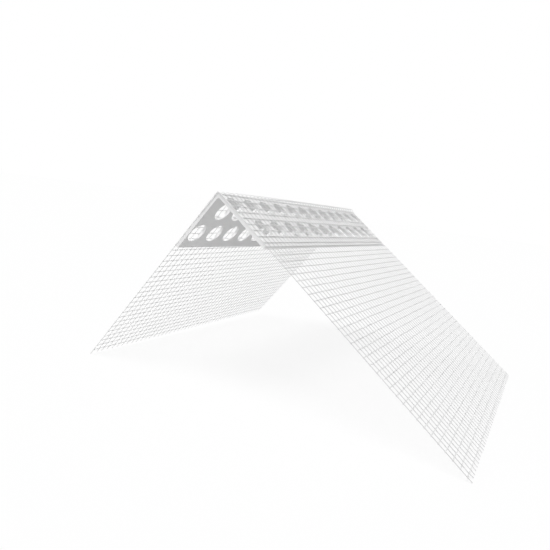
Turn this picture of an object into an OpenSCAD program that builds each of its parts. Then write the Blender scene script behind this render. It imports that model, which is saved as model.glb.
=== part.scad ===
// Mesh corner bead: a perforated PVC angle with reinforcing mesh bonded over its outer faces.
// All sizes are in millimetres. The bead stands like a tent, on the loose edges of its mesh.

/* [Bead] */
// Length of the bead
bead_length = 117; // [60:1:250]

/* [PVC angle] */
// Width of each leg, from the outer corner of the PVC
leg_width = 22.5; // [20:0.5:35]
// Thickness of the PVC
wall = 1; // [0.6:0.1:2]
// Radius of the nose that the mesh bends over
nose_radius = 0.4; // [0.3:0.1:1]
// Radius of the fillet inside the corner
root_radius = 0.9; // [0.2:0.1:1.2]
// Radius of the two corners on each leg's free edge
edge_radius = 0.2; // [0.1:0.05:0.25]

/* [Holes] */
// Diameter of the plaster holes
hole_diameter = 7; // [4:0.25:8]
// Distance between the holes of a row
hole_pitch = 9.75; // [9:0.25:15]
// Distance between the two rows of a leg
row_spacing = 9.5; // [8.5:0.25:11]
// Outer corner to the inner row, on the side of the long mesh wing
long_side_row = 5.5; // [5:0.25:7]
// Outer corner to the inner row, on the side of the short mesh wing
short_side_row = 6.5; // [5:0.25:7]
// Front end to the centre of the first hole
first_hole = 3.9; // [2:0.1:8]

/* [Mesh] */
// Width of the long wing, from the ridge to the loose thread ends
long_wing = 103; // [60:1:150]
// Width of the short wing, from the ridge to the loose thread ends
short_wing = 77; // [50:1:150]
// Distance between threads, both ways
mesh_pitch = 2.5; // [2:0.25:5]
// Width of a thread
thread_width = 0.5; // [0.3:0.05:0.8]
// Thickness of the mesh
mesh_thickness = 0.4; // [0.3:0.05:0.6]
// Ridge to the first lengthwise thread on the long wing
ridge_thread = 1; // [0.9:0.05:1.1]
// Shortest loose end past the last thread
shortest_end = 1.2; // [0.6:0.1:2]

/* [Hidden] */
$fn = 48;
// What a cutter runs past the face it cuts.
past = 1;

hole_radius = hole_diameter / 2;
half_pitch = hole_pitch / 2;

// The mesh is measured from the outer corner of the PVC, which lies one mesh thickness inside the ridge.
long_reach = long_wing - mesh_thickness;
short_reach = short_wing - mesh_thickness;

// The first thread on the short wing is one pitch round the corner from the first on the long wing.
long_first = ridge_thread;
short_first = mesh_pitch - ridge_thread;
long_threads = threads_to(long_reach, long_first);
short_threads = threads_to(short_reach, short_first);
cross_first = thread_width / 2;
cross_threads = threads_to(bead_length, cross_first);

// The mesh is one fabric, drawn in strips because it has over three thousand crossings.
long_strips = 5;
short_strips = 4;

// The long wing lies at this angle below level when both mesh edges stand on the floor.
lean = atan2(short_reach, long_reach);
ridge_height = long_reach * sin(lean);
front_y = -long_reach * cos(lean) - mesh_thickness * sin(lean);
back_y = short_reach * sin(lean) + mesh_thickness * cos(lean);
middle_y = (front_y + back_y) / 2;

function threads_to(reach, first) = floor((reach - shortest_end - first) / mesh_pitch) + 1;
function strip_start(threads, strips, k) = floor(threads * k / strips);
function holes_from(first) = floor((bead_length + hole_radius - first) / hole_pitch) + 1;

// Stands the part up: x runs along the bead, y down the long wing and z down the short wing before this.
module standing() {
    translate([-bead_length / 2, -middle_y, ridge_height])
        rotate([180 + lean, 0, 0])
            children();
}

// Turns a section drawn across the bead into a length of it along x.
module along_bead(length) {
    rotate([90, 0, 90])
        linear_extrude(height = length)
            children();
}

// PVC angle

// One leg of the section, with the corners of its free edge rounded.
module leg_section() {
    square([leg_width - edge_radius, wall]);
    translate([leg_width - edge_radius, edge_radius])
        square([edge_radius, wall - 2 * edge_radius]);
    for (y = [edge_radius, wall - edge_radius])
        translate([leg_width - edge_radius, y])
            circle(r = edge_radius);
}

// What a rounded corner of radius r leaves of its square.
module corner_remainder(r) {
    difference() {
        square(r);
        translate([r, r])
            circle(r = r);
    }
}

module angle_section() {
    difference() {
        union() {
            leg_section();
            mirror([1, -1])
                leg_section();
        }
        corner_remainder(nose_radius);
    }
    translate([wall, wall])
        corner_remainder(root_radius);
}

// Cutters for one row of holes through the leg that lies in the x-y plane.
module hole_row(row, first) {
    for (i = [0 : holes_from(first) - 1])
        translate([first + i * hole_pitch, row, -past])
            cylinder(h = wall + 2 * past, r = hole_radius);
}

// Two staggered rows. The row that starts nearer the front end is the one given first.
module leg_holes(near_row, far_row) {
    hole_row(near_row, first_hole);
    hole_row(far_row, first_hole + half_pitch);
}

module corner_profile() {
    color([0.93, 0.93, 0.92])
        standing()
            difference() {
                along_bead(bead_length)
                    angle_section();
                leg_holes(long_side_row, long_side_row + row_spacing);
                mirror([0, 1, -1])
                    leg_holes(short_side_row + row_spacing, short_side_row);
            }
}

// Mesh

// Threads from..to-1 of one wing, with the cross threads from the strip before it.
// The outline is flat: x runs along the bead, y away from the ridge.
module mesh_strip(first, from, to, low, high) {
    for (i = [from : to - 1])
        translate([0, first + i * mesh_pitch - thread_width / 2])
            square([bead_length, thread_width]);
    for (j = [0 : cross_threads - 1])
        translate([j * mesh_pitch, low])
            square([thread_width, high - low]);
}

// Strip k of a wing. It starts where the thread before it ends, and the last one has the loose ends.
module wing_strip(first, threads, strips, k, reach) {
    from = strip_start(threads, strips, k);
    to = strip_start(threads, strips, k + 1);
    low = k == 0 ? nose_radius : first + (from - 1) * mesh_pitch + thread_width / 2;
    high = k == strips - 1 ? reach : first + (to - 1) * mesh_pitch + thread_width / 2;
    linear_extrude(height = mesh_thickness)
        mesh_strip(first, from, to, low, high);
}

// The cross threads where they bend over the nose.
module nose_threads() {
    for (j = [0 : cross_threads - 1])
        translate([j * mesh_pitch, 0, 0])
            along_bead(thread_width)
                translate([nose_radius, nose_radius])
                    intersection() {
                        difference() {
                            circle(r = nose_radius + mesh_thickness);
                            circle(r = nose_radius);
                        }
                        translate([-2 * nose_radius - mesh_thickness, -2 * nose_radius - mesh_thickness])
                            square(2 * nose_radius + mesh_thickness);
                    }
}

module long_strip(k) {
    color([0.96, 0.96, 0.95])
        standing() {
            translate([0, 0, -mesh_thickness])
                wing_strip(long_first, long_threads, long_strips, k, long_reach);
            if (k == 0)
                nose_threads();
        }
}

module short_strip(k) {
    color([0.96, 0.96, 0.95])
        standing()
            rotate([90, 0, 0])
                wing_strip(short_first, short_threads, short_strips, k, short_reach);
}

module mesh_long_1() { long_strip(0); }
module mesh_long_2() { long_strip(1); }
module mesh_long_3() { long_strip(2); }
module mesh_long_4() { long_strip(3); }
module mesh_long_5() { long_strip(4); }
module mesh_short_1() { short_strip(0); }
module mesh_short_2() { short_strip(1); }
module mesh_short_3() { short_strip(2); }
module mesh_short_4() { short_strip(3); }

corner_profile();
mesh_long_1();
mesh_long_2();
mesh_long_3();
mesh_long_4();
mesh_long_5();
mesh_short_1();
mesh_short_2();
mesh_short_3();
mesh_short_4();
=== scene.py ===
"""Mesh corner bead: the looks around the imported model.

Sizes are in millimetres, as in the part's source, and MM turns them to metres.
The fabric is woven flat by Geometry Nodes, strip by strip, and then folded over the nose of the angle.
"""
import functools
import math

import bpy
import numpy as np
from mathutils import Matrix, Vector


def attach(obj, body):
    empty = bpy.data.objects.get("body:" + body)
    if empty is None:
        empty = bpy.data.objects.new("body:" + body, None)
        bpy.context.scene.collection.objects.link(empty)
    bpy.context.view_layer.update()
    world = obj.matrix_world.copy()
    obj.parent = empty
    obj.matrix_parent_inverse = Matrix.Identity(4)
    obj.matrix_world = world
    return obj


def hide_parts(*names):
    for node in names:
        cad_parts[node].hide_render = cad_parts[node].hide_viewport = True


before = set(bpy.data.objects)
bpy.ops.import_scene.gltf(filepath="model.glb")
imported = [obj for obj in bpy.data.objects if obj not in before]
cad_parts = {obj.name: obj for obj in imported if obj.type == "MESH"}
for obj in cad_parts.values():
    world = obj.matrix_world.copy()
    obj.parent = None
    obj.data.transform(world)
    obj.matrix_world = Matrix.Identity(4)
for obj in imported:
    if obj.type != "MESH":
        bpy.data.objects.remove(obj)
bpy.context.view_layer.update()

MM = 0.001

# The bead's own sizes, and how many strips each wing's fabric is made in
BEAD_LENGTH = 117.0
LEG_WIDTH = 22.5
NOSE_RADIUS = 0.4
LONG_WING = 103.0
SHORT_WING = 77.0
MESH_PITCH = 2.5
MESH_THICKNESS = 0.4
THREAD_WIDTH = 0.5
RIDGE_THREAD = 1.0
SHORTEST_END = 1.2
LONG_STRIPS = 5
SHORT_STRIPS = 4

# The bead stands like a tent, on the loose edges of its mesh. A reach is the distance down a wing from the
# outer corner of the PVC, and the way down each wing is given as y and z.
LONG_REACH = LONG_WING - MESH_THICKNESS
SHORT_REACH = SHORT_WING - MESH_THICKNESS
LEAN = math.atan2(SHORT_REACH, LONG_REACH)
DOWN_LONG = (-math.cos(LEAN), -math.sin(LEAN))
DOWN_SHORT = (math.sin(LEAN), -math.cos(LEAN))
RIDGE_HEIGHT = LONG_REACH * math.sin(LEAN)
FRONT_Y = -LONG_REACH * math.cos(LEAN) - MESH_THICKNESS * math.sin(LEAN)
BACK_Y = SHORT_REACH * math.sin(LEAN) + MESH_THICKNESS * math.cos(LEAN)
MIDDLE_Y = (FRONT_Y + BACK_Y) / 2


# Camera

# The view that the photograph was taken from, fitted to its edges and thread lines.
# Without yaw, pitch and roll the camera would look level along x.
CAMERA_LENS = 34.74
CAMERA_PLACE = Vector((-190.28, -71.16, 60.28)) * MM
CAMERA_YAW = math.radians(26.994)
CAMERA_PITCH = math.radians(-7.619)
CAMERA_ROLL = math.radians(7.616)

camera_data = bpy.data.cameras.new("camera")
camera_data.sensor_fit = "HORIZONTAL"
camera_data.sensor_width = 36.0
camera_data.lens = CAMERA_LENS
camera_data.clip_start = 0.01
camera = bpy.data.objects.new("camera", camera_data)
bpy.context.scene.collection.objects.link(camera)
camera.matrix_world = (
    Matrix.Translation(CAMERA_PLACE)
    @ Matrix.Rotation(CAMERA_YAW - math.pi / 2, 4, "Z")
    @ Matrix.Rotation(CAMERA_PITCH + math.pi / 2, 4, "X")
    @ Matrix.Rotation(CAMERA_ROLL, 4, "Z")
)
bpy.context.scene.camera = camera


# Node trees and colours

def add_node(tree, kind, inputs=(), **settings):
    """Adds a node with its settings and links.

    inputs gives its sockets in order, or by name. Each is a value, another node's output, or another node,
    which stands for its first output.
    """
    node = tree.nodes.new(kind)
    for key, value in settings.items():
        setattr(node, key, value)
    sockets = inputs.items() if isinstance(inputs, dict) else enumerate(inputs)
    for key, value in sockets:
        if isinstance(value, bpy.types.Node):
            value = value.outputs[0]
        if isinstance(value, bpy.types.NodeSocket):
            tree.links.new(value, node.inputs[key])
        else:
            node.inputs[key].default_value = value
    return node


def linear(hex_colour):
    """sRGB hex to the linear colour that a shader takes."""
    parts = [int(hex_colour[i : i + 2], 16) / 255 for i in (1, 3, 5)]
    return [c / 12.92 if c <= 0.04045 else ((c + 0.055) / 1.055) ** 2.4 for c in parts] + [1.0]


# Materials

def new_material(name):
    material = bpy.data.materials.new(name)
    material.use_nodes = True
    material.node_tree.nodes.clear()
    return material, material.node_tree


# Cells of noise to the metre: die lines are about 0.4 mm apart across the leg and unbroken for tens of
# millimetres, and the colour has slow waves of 15 mm, where the melt cooled unevenly.
DIE_LINE_CELLS = (12, 2400, 2400)
CLOUD_CELLS = 65.0
PVC_TONES = ("#e9e9e9", "#f1f1f1")


def extruded_pvc():
    """Rigid PVC, extruded: an even white with a satin face, and die lines that run the length of the bead."""
    material, tree = new_material("extruded_pvc")
    add = functools.partial(add_node, tree)
    place = add("ShaderNodeTexCoord").outputs["Object"]
    drawn = add("ShaderNodeMapping", {"Vector": place, "Scale": DIE_LINE_CELLS})
    lines = add("ShaderNodeTexNoise", {"Vector": drawn, "Scale": 1.0, "Detail": 3.0, "Roughness": 0.6})
    lines = lines.outputs["Fac"]
    cloud = add("ShaderNodeTexNoise", {"Vector": place, "Scale": CLOUD_CELLS, "Detail": 2.0}).outputs["Fac"]
    low, high = (linear(tone) for tone in PVC_TONES)
    colour = add("ShaderNodeMix", {"Factor": cloud, "A": low, "B": high}, data_type="RGBA")
    gloss = add("ShaderNodeMapRange", {"Value": lines, "To Min": 0.45, "To Max": 0.6})
    relief = add("ShaderNodeBump", {"Height": lines, "Strength": 0.35, "Distance": 0.03 * MM})
    shader = add(
        "ShaderNodeBsdfPrincipled",
        {"Base Color": colour.outputs["Result"], "Roughness": gloss, "Normal": relief, "IOR": 1.53},
    )
    add("ShaderNodeOutputMaterial", {"Surface": shader})
    return material


# Cells of noise to the millimetre of flat fabric: fibre bundles are about 0.05 mm wide. They run with the
# yarn, so the lengthwise and the cross yarns have their own.
LENGTHWISE_FIBRE_CELLS = (0.5, 20, 20)
CROSS_FIBRE_CELLS = (20, 0.5, 20)
# The lengthwise strands are thin, so their coating looks whiter. They are twisted tight, and pass a smaller
# share of the light than the flat cross yarn.
LENGTHWISE_TONES = ("#ebebeb", "#f7f7f7")
CROSS_TONES = ("#dddddd", "#ebebeb")
LENGTHWISE_PASSES = 0.6
CROSS_PASSES = 0.73


def coated_glass_yarn():
    """Glass-fibre yarn in a white acrylic coating: pale, a little glossy, and it lets light through."""
    material, tree = new_material("coated_glass_yarn")
    add = functools.partial(add_node, tree)
    flat = add("ShaderNodeAttribute", attribute_name="weave").outputs["Vector"]
    crossing = add("ShaderNodeAttribute", attribute_name="cross").outputs["Fac"]
    lengthwise = add("ShaderNodeMapping", {"Vector": flat, "Scale": LENGTHWISE_FIBRE_CELLS})
    across = add("ShaderNodeMapping", {"Vector": flat, "Scale": CROSS_FIBRE_CELLS})
    direction = add("ShaderNodeMix", {"Factor": crossing, "A": lengthwise, "B": across}, data_type="VECTOR")
    direction = direction.outputs["Result"]
    fibres = add("ShaderNodeTexNoise", {"Vector": direction, "Scale": 1.0, "Detail": 2.0}).outputs["Fac"]
    tones = []
    for low, high in (LENGTHWISE_TONES, CROSS_TONES):
        tone = {"Factor": fibres, "A": linear(low), "B": linear(high)}
        tones.append(add("ShaderNodeMix", tone, data_type="RGBA").outputs["Result"])
    colour = add("ShaderNodeMix", {"Factor": crossing, "A": tones[0], "B": tones[1]}, data_type="RGBA")
    colour = colour.outputs["Result"]
    relief = add("ShaderNodeBump", {"Height": fibres, "Strength": 0.5, "Distance": 0.02 * MM})
    shader = add(
        "ShaderNodeBsdfPrincipled", {"Base Color": colour, "Roughness": 0.42, "Normal": relief, "IOR": 1.48}
    )
    through = add("ShaderNodeBsdfTranslucent", {"Color": colour})
    share = {"Value": crossing, "To Min": LENGTHWISE_PASSES, "To Max": CROSS_PASSES}
    passing = add("ShaderNodeMapRange", share)
    mixed = add("ShaderNodeMixShader", (passing, shader, through))
    add("ShaderNodeOutputMaterial", {"Surface": mixed})
    return material


PVC = extruded_pvc()
YARN = coated_glass_yarn()


# Fabric

YARN_INPUTS = {
    "Threads": "Int",
    "Strands": "Int",
    "First": "Float",
    "Low": "Float",
    "High": "Float",
    "Segment": "Float",
    "Width": "Float",
    "Thickness": "Float",
    "Twist Width": "Float",
    "Twist Height": "Float",
    "Crossing": "Float",
    "Sides": "Int",
    "Loose High": "Float",
    "Wander": "Float",
    "Seed": "Float",
    "Cross": "Bool",
    "First Number": "Int",
}

# A yarn wanders over a centimetre or two: cells of noise to the millimetre along it, and from yarn to yarn.
WANDER_CELLS = 0.07
WANDER_STEP = 0.61
# A loose end: how long a stretch of it leans, how far it leans from one side to the other at most, and by
# what share it thins.
LOOSE_STRETCH = 1.8
LOOSE_LEAN = 0.5
LOOSE_THINNING = 0.12
# A crossing: how many times thicker the gathered coating makes the yarn there, how far from the crossing it
# stays so, and where that ends.
GATHERED = 1.12
GATHERED_TO = 0.15
GATHER_END = 0.6


def yarn_tree():
    """Parallel yarns of a plain count, one pitch apart. Each runs along x, or along y where Cross is set.

    A yarn of two strands is twisted half a turn a cell, so one strand passes over each cross yarn and one
    under it.
    """
    tree = bpy.data.node_groups.new("yarns", "GeometryNodeTree")
    add = functools.partial(add_node, tree)
    tree.interface.new_socket("Geometry", in_out="OUTPUT", socket_type="NodeSocketGeometry")
    for name, kind in YARN_INPUTS.items():
        tree.interface.new_socket(name, in_out="INPUT", socket_type="NodeSocket" + kind)
    size = add("NodeGroupInput").outputs

    # Each strand starts as a point that keeps its yarn's number in the whole fabric, and its own in the yarn.
    # The hundredth that is added first keeps a whole quotient from rounding down.
    count = add("ShaderNodeMath", (size["Threads"], size["Strands"]), operation="MULTIPLY")
    starts = add("GeometryNodeMeshLine", {"Count": count, "Offset": (0, 0, 0)}, mode="OFFSET")
    index = add("GeometryNodeInputIndex")
    yarn = add("ShaderNodeMath", (index, 0.01), operation="ADD")
    yarn = add("ShaderNodeMath", (yarn, size["Strands"]), operation="DIVIDE")
    yarn = add("ShaderNodeMath", (yarn,), operation="FLOOR")
    number = add("ShaderNodeMath", (yarn, size["First Number"]), operation="ADD")
    before = add("ShaderNodeMath", (yarn, size["Strands"]), operation="MULTIPLY")
    strand = add("ShaderNodeMath", (index, before), operation="SUBTRACT")
    kept = add("GeometryNodeCaptureAttribute", {"Geometry": starts}, domain="POINT")
    kept.capture_items.new("FLOAT", "Number")
    kept.capture_items.new("FLOAT", "Strand")
    tree.links.new(number.outputs[0], kept.inputs["Number"])
    tree.links.new(strand.outputs[0], kept.inputs["Strand"])
    number = kept.outputs["Number"]
    strand = kept.outputs["Strand"]

    # One straight line of even segments, copied to every point.
    run = add("ShaderNodeMath", (size["High"], size["Low"]), operation="SUBTRACT")
    line_ends = [add("ShaderNodeCombineXYZ", {"X": size[name]}) for name in ("Low", "High")]
    line = add("GeometryNodeCurvePrimitiveLine", {"Start": line_ends[0], "End": line_ends[1]})
    points = add("ShaderNodeMath", (run, size["Segment"]), operation="DIVIDE")
    points = add("ShaderNodeMath", (points,), operation="ROUND")
    points = add("ShaderNodeMath", (points, 1.0), operation="ADD")
    line = add("GeometryNodeResampleCurve", {"Curve": line, "Count": points}, mode="COUNT")
    copies = add("GeometryNodeInstanceOnPoints", {"Points": kept.outputs["Geometry"], "Instance": line})
    curves = add("GeometryNodeRealizeInstances", {"Geometry": copies})

    place = add("GeometryNodeInputPosition")
    x = add("ShaderNodeSeparateXYZ", {"Vector": place}).outputs["X"]

    def chance(shift):
        """A fixed number from 0 to 1 for each strand in the whole fabric. A yarn has two strands at most."""
        key = add("ShaderNodeMath", (number, 2.0), operation="MULTIPLY")
        key = add("ShaderNodeMath", (key, strand), operation="ADD")
        seed = add("ShaderNodeMath", (size["Seed"], shift), operation="ADD")
        draw = {"Min": 0.0, "Max": 1.0, "ID": key, "Seed": seed}
        return add("FunctionNodeRandomValue", draw, data_type="FLOAT").outputs["Value"]

    # A loose end is cut a little short of the full reach, by its own amount.
    from_low = add("ShaderNodeMath", (x, size["Low"]), operation="SUBTRACT")
    from_low = add("ShaderNodeMath", (from_low, run), operation="DIVIDE")
    cut_high = add("ShaderNodeMath", (chance(1), size["Loose High"]), operation="MULTIPLY")
    cut_high = add("ShaderNodeMath", (cut_high, from_low), operation="MULTIPLY")
    x_cut = add("ShaderNodeMath", (x, cut_high), operation="SUBTRACT")

    # A twisted pair is a double helix that comes upright at each crossing.
    from_first = add("ShaderNodeMath", (x_cut, size["Crossing"]), operation="SUBTRACT")
    angle = add("ShaderNodeMath", (from_first, MESH_PITCH), operation="DIVIDE")
    angle = add("ShaderNodeMath", (angle, strand), operation="ADD")
    angle = add("ShaderNodeMath", (angle, math.pi), operation="MULTIPLY")
    side = add("ShaderNodeMath", (angle,), operation="SINE")
    side = add("ShaderNodeMath", (side, size["Twist Width"]), operation="MULTIPLY")
    lift = add("ShaderNodeMath", (angle,), operation="COSINE")
    lift = add("ShaderNodeMath", (lift, size["Twist Height"]), operation="MULTIPLY")

    # The yarn wanders to either side by a few hundredths of a millimetre.
    along_noise = add("ShaderNodeMath", (x_cut, WANDER_CELLS), operation="MULTIPLY")
    across_noise = add("ShaderNodeMath", (number, WANDER_STEP), operation="MULTIPLY")
    spot = add("ShaderNodeCombineXYZ", (along_noise, across_noise, size["Seed"]))
    drift = add("ShaderNodeTexNoise", {"Vector": spot, "Scale": 1.0, "Detail": 1.0}).outputs["Fac"]
    drift = add("ShaderNodeMath", (drift, 0.5), operation="SUBTRACT")
    drift = add("ShaderNodeMath", (drift, size["Wander"]), operation="MULTIPLY")

    # A loose end leans to one side.
    loose = add("ShaderNodeMath", (size["Loose High"], 0.0), operation="GREATER_THAN")
    leans_from = add("ShaderNodeMath", (size["High"], LOOSE_STRETCH), operation="SUBTRACT")
    stretch = {"Value": x, "From Min": leans_from, "From Max": size["High"]}
    end = add("ShaderNodeMapRange", stretch, interpolation_type="SMOOTHSTEP")
    end = add("ShaderNodeMath", (end, loose), operation="MULTIPLY")
    bend = add("ShaderNodeMath", (chance(2), 0.5), operation="SUBTRACT")
    bend = add("ShaderNodeMath", (bend, LOOSE_LEAN), operation="MULTIPLY")
    bend = add("ShaderNodeMath", (bend, end), operation="MULTIPLY")

    row = add("ShaderNodeMath", (number, size["First Number"]), operation="SUBTRACT")
    row = add("ShaderNodeMath", (row, MESH_PITCH), operation="MULTIPLY")
    y = add("ShaderNodeMath", (size["First"], row), operation="ADD")
    y = add("ShaderNodeMath", (y, side), operation="ADD")
    astray = add("ShaderNodeMath", (drift, bend), operation="ADD")
    y = add("ShaderNodeMath", (y, astray), operation="ADD")
    laid = add("ShaderNodeCombineXYZ", (x_cut, y, lift))
    curves = add("GeometryNodeSetPosition", {"Geometry": curves, "Position": laid})

    # The coating gathers where yarns cross, and thins out between. A loose end is thinner.
    from_crossing = add("ShaderNodeMath", (from_first, MESH_PITCH / 2), operation="PINGPONG")
    gather = {"Value": from_crossing, "From Min": GATHERED_TO, "From Max": GATHER_END, "To Min": GATHERED}
    swell = add("ShaderNodeMapRange", gather, interpolation_type="SMOOTHSTEP")
    thinned = add("ShaderNodeMath", (end, LOOSE_THINNING), operation="MULTIPLY")
    thinned = add("ShaderNodeMath", (1.0, thinned), operation="SUBTRACT")
    swell = add("ShaderNodeMath", (swell, thinned), operation="MULTIPLY")
    curves = add("GeometryNodeSetCurveRadius", {"Curve": curves, "Radius": swell})
    curves = add("GeometryNodeSetCurveNormal", {"Curve": curves}, mode="Z_UP")
    ring = add("GeometryNodeCurvePrimitiveCircle", {"Resolution": size["Sides"], "Radius": 0.5})
    oval = add("ShaderNodeCombineXYZ", (size["Width"], size["Thickness"], 1.0))
    ring = add("GeometryNodeTransform", {"Geometry": ring, "Scale": oval})
    tube = add("GeometryNodeCurveToMesh", {"Curve": curves, "Profile Curve": ring, "Fill Caps": True})

    # A cross yarn is turned a quarter, by swapping x and y. That mirrors it, so its faces are flipped back.
    axes = add("ShaderNodeSeparateXYZ", {"Vector": place}).outputs
    swapped = add("ShaderNodeCombineXYZ", (axes["Y"], axes["X"], axes["Z"]))
    turned = add("GeometryNodeSetPosition", {"Geometry": tube, "Position": swapped})
    turned = add("GeometryNodeFlipFaces", {"Mesh": turned})
    either = {"Switch": size["Cross"], "False": tube, "True": turned}
    cloth = add("GeometryNodeSwitch", either, input_type="GEOMETRY").outputs["Output"]
    for name, value, kind in (("weave", place, "FLOAT_VECTOR"), ("cross", size["Cross"], "FLOAT")):
        stored = {"Geometry": cloth, "Name": name, "Value": value}
        cloth = add("GeometryNodeStoreNamedAttribute", stored, data_type=kind, domain="POINT")
    cloth = add("GeometryNodeSetShadeSmooth", {"Geometry": cloth})
    cloth = add("GeometryNodeRealizeInstances", {"Geometry": cloth})
    cloth = add("GeometryNodeSetMaterial", {"Geometry": cloth, "Material": YARN})
    add("NodeGroupOutput", {"Geometry": cloth})
    return tree


YARNS = yarn_tree()
YARN_SOCKETS = {item.name: item.identifier for item in YARNS.interface.items_tree if item.in_out == "INPUT"}


def woven(values):
    """The plain mesh that the tree makes with these inputs."""
    holder = bpy.data.objects.new("yarns", bpy.data.meshes.new("yarns"))
    bpy.context.scene.collection.objects.link(holder)
    modifier = holder.modifiers.new("yarns", "NODES")
    modifier.node_group = YARNS
    for name, value in values.items():
        modifier[YARN_SOCKETS[name]] = value
    depsgraph = bpy.context.evaluated_depsgraph_get()
    mesh = bpy.data.meshes.new_from_object(holder.evaluated_get(depsgraph), depsgraph=depsgraph)
    holder.modifiers.clear()
    bpy.data.objects.remove(holder)
    return mesh


MIDDLE_RADIUS = NOSE_RADIUS + MESH_THICKNESS / 2
HALF_BEND = MIDDLE_RADIUS * math.pi / 4


def across_fabric(reach):
    """How far across the flat fabric a distance from the outer corner of the PVC is."""
    return reach - NOSE_RADIUS + HALF_BEND


# The fabric bulges over the nose by up to this height, and comes up to most of it over this run.
CREST_LIFT = 0.86
LIFT_RUN = 28.0
# The first lengthwise yarn of the long wing is bonded to the PVC. The first of the short wing rides on the
# bulge.
HELD_LONG = across_fabric(RIDGE_THREAD)
FIRST_SHORT = across_fabric(MESH_PITCH - RIDGE_THREAD)


def crest_lift(x):
    """How far the fabric stands off the nose: not at all at the near end, and most at the far end."""
    return CREST_LIFT * (1 - np.exp(-np.maximum(x, 0) / LIFT_RUN))


def nose_lift(x, across):
    """The bulge's height. It ends at the long wing's first yarn, and just past the short wing's first."""
    held_at = np.where(across > 0, HELD_LONG, HELD_LONG + FIRST_SHORT)
    return crest_lift(x) * np.cos(np.clip(np.abs(across) / held_at, 0, 1) * math.pi / 2) ** 2


# The fabric was laid a little askew: its yarns run off square by one or two hundredths of their length.
# The cross yarns slant towards the far end by these shares of the way down a wing.
LONG_SLANT = 0.008
SHORT_SLANT = 0.012
# They also lie further along on the long wing, and less far on the short one, by this share of the way along.
# That fades out towards the far end.
SPREAD = 0.0125
# The whole fabric stands out this much past the PVC's near end.
NEAR_OVERHANG = 0.3
# The short wing's lengthwise yarns lie this much further down at the near end.
NEAR_CREEP = 0.8
# Each millimetre along the bead takes this much of it away, and so does each down the wing past a certain
# reach.
CREEP_LOST_ALONG = 0.0225
CREEP_LOST_DOWN = 0.011
CREEP_KEPT_TO = 30.0
# The bulge draws the short wing's first yarns up towards it, by this many times its height at most.
DRAWN_UP = 1.7


def skewed(x, across):
    """Where a point of the square weave comes to lie: how far it moves along the bead and across it."""
    long_side = across > 0
    reach = np.abs(across)
    spread = SPREAD * x * (1 - x / BEAD_LENGTH)
    slant = np.where(long_side, LONG_SLANT * reach + spread, SHORT_SLANT * reach - spread)
    creep = NEAR_CREEP - CREEP_LOST_ALONG * x - CREEP_LOST_DOWN * np.maximum(reach - CREEP_KEPT_TO, 0)
    beside_bulge = np.clip((HELD_LONG - across) / (HELD_LONG + FIRST_SHORT), 0, 1)
    drawn = DRAWN_UP * crest_lift(x) * beside_bulge
    past_bulge = np.where(long_side, 0, np.clip((reach - FIRST_SHORT) / MESH_PITCH, 0, 1))
    return slant - NEAR_OVERHANG, drawn * (1 - past_bulge) - creep * past_bulge


def folded(points):
    """Flat fabric to its place on the bead, in metres.

    In the flat, x runs along the bead and y across it, with the nose at 0 and the long wing positive. z is
    outwards.
    """
    x, across, out = points.T
    along, sideways = skewed(x, across)
    across = across + sideways
    out = out + nose_lift(x, across)
    x = x + along
    turn = np.clip(across / MIDDLE_RADIUS, -math.pi / 4, math.pi / 4) + math.pi / 4
    radius = MIDDLE_RADIUS + out
    down_long = NOSE_RADIUS - radius * np.cos(turn) + np.maximum(across - HALF_BEND, 0)
    down_short = NOSE_RADIUS - radius * np.sin(turn) + np.maximum(-across - HALF_BEND, 0)
    y = DOWN_LONG[0] * down_long + DOWN_SHORT[0] * down_short - MIDDLE_Y
    z = DOWN_LONG[1] * down_long + DOWN_SHORT[1] * down_short + RIDGE_HEIGHT
    return np.stack([x - BEAD_LENGTH / 2, y, z], 1) * MM


def threads_to(reach, first):
    """How many threads there are, one pitch apart, where the last one leaves a loose end past it."""
    return math.floor((reach - SHORTEST_END - first) / MESH_PITCH) + 1


def points_of(mesh):
    points = np.empty(len(mesh.vertices) * 3)
    mesh.vertices.foreach_get("co", points)
    return points.reshape(-1, 3)


def put_points(mesh, points):
    mesh.vertices.foreach_set("co", points.ravel())


# How many times its own thickness the adhesive adds to the yarn at the cut end
SEALED = 1.7


def seal_cut_end(cross):
    """Adhesive was pressed out at the PVC's cut end.

    The first cross yarn is soaked with it as far as the legs reach, so there it is thicker and paler.
    """
    points = points_of(cross)
    sealed = (points[:, 0] < MESH_PITCH / 2) * np.clip(LEG_WIDTH - np.abs(points[:, 1]), 0, 1)
    points[:, 2] *= 1 + SEALED * sealed
    put_points(cross, points)
    cross.attributes["cross"].data.foreach_set("value", 1 - sealed)


# The first cross yarn's middle, from the near end, and how many there are.
CROSS_FIRST = THREAD_WIDTH / 2
CROSS_THREADS = threads_to(BEAD_LENGTH, CROSS_FIRST)

LENGTHWISE_YARN = {
    "Strands": 2,
    "Low": 0.0,
    "High": BEAD_LENGTH,
    "Segment": MESH_PITCH / 6,
    "Width": 0.18,
    "Thickness": 0.2,
    "Twist Width": 0.06,
    "Twist Height": 0.12,
    "Crossing": CROSS_FIRST,
    "Sides": 6,
    "Loose High": 0.2,
    "Wander": 0.25,
    "Cross": False,
}
CROSS_YARN = {
    "Threads": CROSS_THREADS,
    "Strands": 1,
    "First": CROSS_FIRST,
    "Width": 0.4,
    "Thickness": 0.14,
    "Twist Width": 0.0,
    "Twist Height": 0.0,
    "Sides": 8,
    "Wander": 0.2,
    "Seed": 7.0,
    "Cross": True,
    "First Number": 0,
}
# Cross yarns take shorter segments in each wing's first strip, where they bend.
BENT_SEGMENT = 0.25
STRAIGHT_SEGMENT = MESH_PITCH / 4
# Their loose ends are cut up to this much short.
CROSS_LOOSE = 0.2


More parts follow.
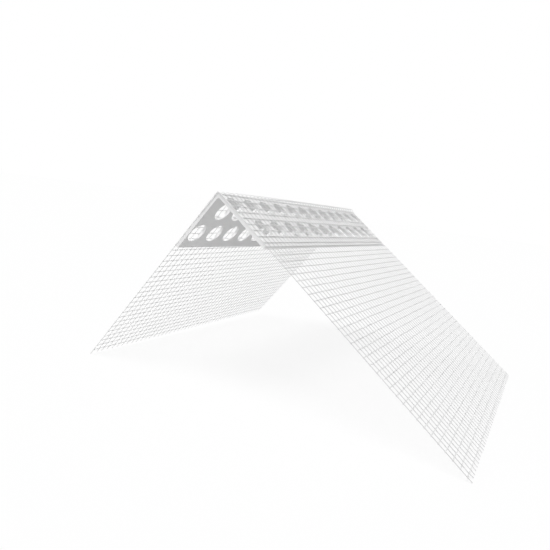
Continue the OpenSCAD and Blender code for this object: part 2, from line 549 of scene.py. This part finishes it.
def fabric_strip(name, side, first, threads, strips, k, reach, seed):
    """Strip k of a wing: its lengthwise yarns, and the cross yarns between it and the strip before it.

    side is 1 on the long wing and -1 on the short one. first is how far the wing's first lengthwise yarn is
    from the corner, and threads is how many the wing has.
    """
    start, stop = (math.floor(threads * n / strips) for n in (k, k + 1))
    first_yarn = across_fabric(first)
    lengthwise = {
        "Threads": stop - start,
        "First": first_yarn + start * MESH_PITCH,
        "First Number": start,
        "Seed": seed,
    }
    # A strip's cross yarns start at the far edge of the yarn before it. Those of the long wing's first strip
    # also go round the nose.
    edge = THREAD_WIDTH / 2 - MESH_PITCH
    nearest = k == 0
    last = k == strips - 1
    crosswise = {
        "Low": -HALF_BEND * side if nearest else across_fabric(first + start * MESH_PITCH + edge),
        "High": across_fabric(reach if last else first + stop * MESH_PITCH + edge),
        "Segment": BENT_SEGMENT if nearest else STRAIGHT_SEGMENT,
        "Crossing": first_yarn,
        "Loose High": CROSS_LOOSE if last else 0.0,
    }
    strip = bpy.data.objects.new(name, woven(LENGTHWISE_YARN | lengthwise))
    rest = bpy.data.objects.new(name + "_cross", woven(CROSS_YARN | crosswise))
    seal_cut_end(rest.data)
    both = [strip, rest]
    for piece in both:
        bpy.context.scene.collection.objects.link(piece)
    with bpy.context.temp_override(
        active_object=strip, object=strip, selected_objects=both, selected_editable_objects=both
    ):
        bpy.ops.object.join()
    mesh = strip.data
    put_points(mesh, folded(points_of(mesh) * (1, side, 1)))
    # The fold mirrors the fabric. The short wing is mirrored twice, so its faces already point outwards.
    if side > 0:
        mesh.flip_normals()
    mesh.update()
    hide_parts(name.replace("fabric", "mesh"))
    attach(strip, "root")


# The short wing is cut this much shorter, so that its creep leaves it clear of the floor.
SHORT_TRIM = 0.3
LONG_SEED = 3.0
SHORT_SEED = 11.0


def fabric():
    """Both wings, strip by strip. Their first yarns are one pitch apart, round the corner."""
    threads = threads_to(LONG_REACH, RIDGE_THREAD)
    for k in range(LONG_STRIPS):
        name = f"fabric_long_{k + 1}"
        fabric_strip(name, 1, RIDGE_THREAD, threads, LONG_STRIPS, k, LONG_REACH, LONG_SEED)
    first = MESH_PITCH - RIDGE_THREAD
    threads = threads_to(SHORT_REACH, first)
    reach = SHORT_REACH - SHORT_TRIM
    for k in range(SHORT_STRIPS):
        name = f"fabric_short_{k + 1}"
        fabric_strip(name, -1, first, threads, SHORT_STRIPS, k, reach, SHORT_SEED)


fabric()


# Angle

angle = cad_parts["corner_profile"]
angle.data.materials.clear()
angle.data.materials.append(PVC)


# Floor and light

def seen_by_camera(tree):
    """1 for what the camera sees, straight or by reflection, and 0 for the light that falls on the bead."""
    add = functools.partial(add_node, tree)
    path = add("ShaderNodeLightPath").outputs
    seen = add("ShaderNodeMath", (path["Is Camera Ray"], path["Is Glossy Ray"]), operation="MAXIMUM")
    seen = add("ShaderNodeMath", (seen, path["Is Transmission Ray"]), operation="MAXIMUM")
    return seen


WHITE = "#ffffff"
FLOOR_TONE = "#bbbbbb"
# The camera sees the floor as a white glow of this strength, and a darker paint that takes the shadow.
FLOOR_GLOW = 0.84
SHADOWED_TONE = "#616161"


def floor_paint():
    """A matt pale floor. The camera sees it lifted to white, with a little of the bead's shadow left."""
    material, tree = new_material("floor_paint")
    add = functools.partial(add_node, tree)
    matt = add("ShaderNodeBsdfDiffuse", {"Color": linear(FLOOR_TONE)})
    shadowed = add("ShaderNodeBsdfDiffuse", {"Color": linear(SHADOWED_TONE)})
    glow = add("ShaderNodeEmission", {"Color": linear(WHITE), "Strength": FLOOR_GLOW})
    lifted = add("ShaderNodeAddShader", (shadowed, glow))
    shown = add("ShaderNodeMixShader", (seen_by_camera(tree), matt, lifted))
    add("ShaderNodeOutputMaterial", {"Surface": shown})
    return material


# Half the floor's side, in metres
FLOOR_HALF = 6.0
floor_mesh = bpy.data.meshes.new("floor")
corners = [(x * FLOOR_HALF, y * FLOOR_HALF, 0) for x, y in ((-1, -1), (1, -1), (1, 1), (-1, 1))]
floor_mesh.from_pydata(corners, [], [(0, 1, 2, 3)])
floor_mesh.materials.append(floor_paint())
floor = bpy.data.objects.new("floor", floor_mesh)
bpy.context.scene.collection.objects.link(floor)


def soft_light(name, towards, level, spread):
    """A sun with a wide disc, as even as a large softbox.

    level is how bright it makes a white face that looks at it. spread is how wide the disc is, in degrees.
    """
    data = bpy.data.lights.new(name, "SUN")
    data.energy = level * math.pi
    data.angle = math.radians(spread)
    lamp = bpy.data.objects.new(name, data)
    lamp.rotation_euler = Vector(towards).to_track_quat("Z", "Y").to_euler()
    bpy.context.scene.collection.objects.link(lamp)


# One softbox hangs overhead, a little towards the near end, and a weaker one stands behind the short wing.
soft_light("top_softbox", towards=(-0.38, 0.05, 0.92), level=0.84, spread=30)
soft_light("back_softbox", towards=(-0.35, 0.66, 0.66), level=0.22, spread=50)

# How much light the white room around the bead throws on it
ROOM_LIGHT = 0.38


def studio():
    """A white room. The camera sees it as plain white, and the bead gets a smaller share of light from it."""
    world = bpy.data.worlds.new("studio")
    world.use_nodes = True
    world.node_tree.nodes.clear()
    add = functools.partial(add_node, world.node_tree)
    seen = seen_by_camera(world.node_tree)
    level = add("ShaderNodeMapRange", {"Value": seen, "To Min": ROOM_LIGHT, "To Max": 1.0})
    glow = add("ShaderNodeBackground", {"Color": linear(WHITE), "Strength": level})
    add("ShaderNodeOutputWorld", {"Surface": glow})
    return world


bpy.context.scene.world = studio()
bpy.context.scene.view_settings.view_transform = "Standard"
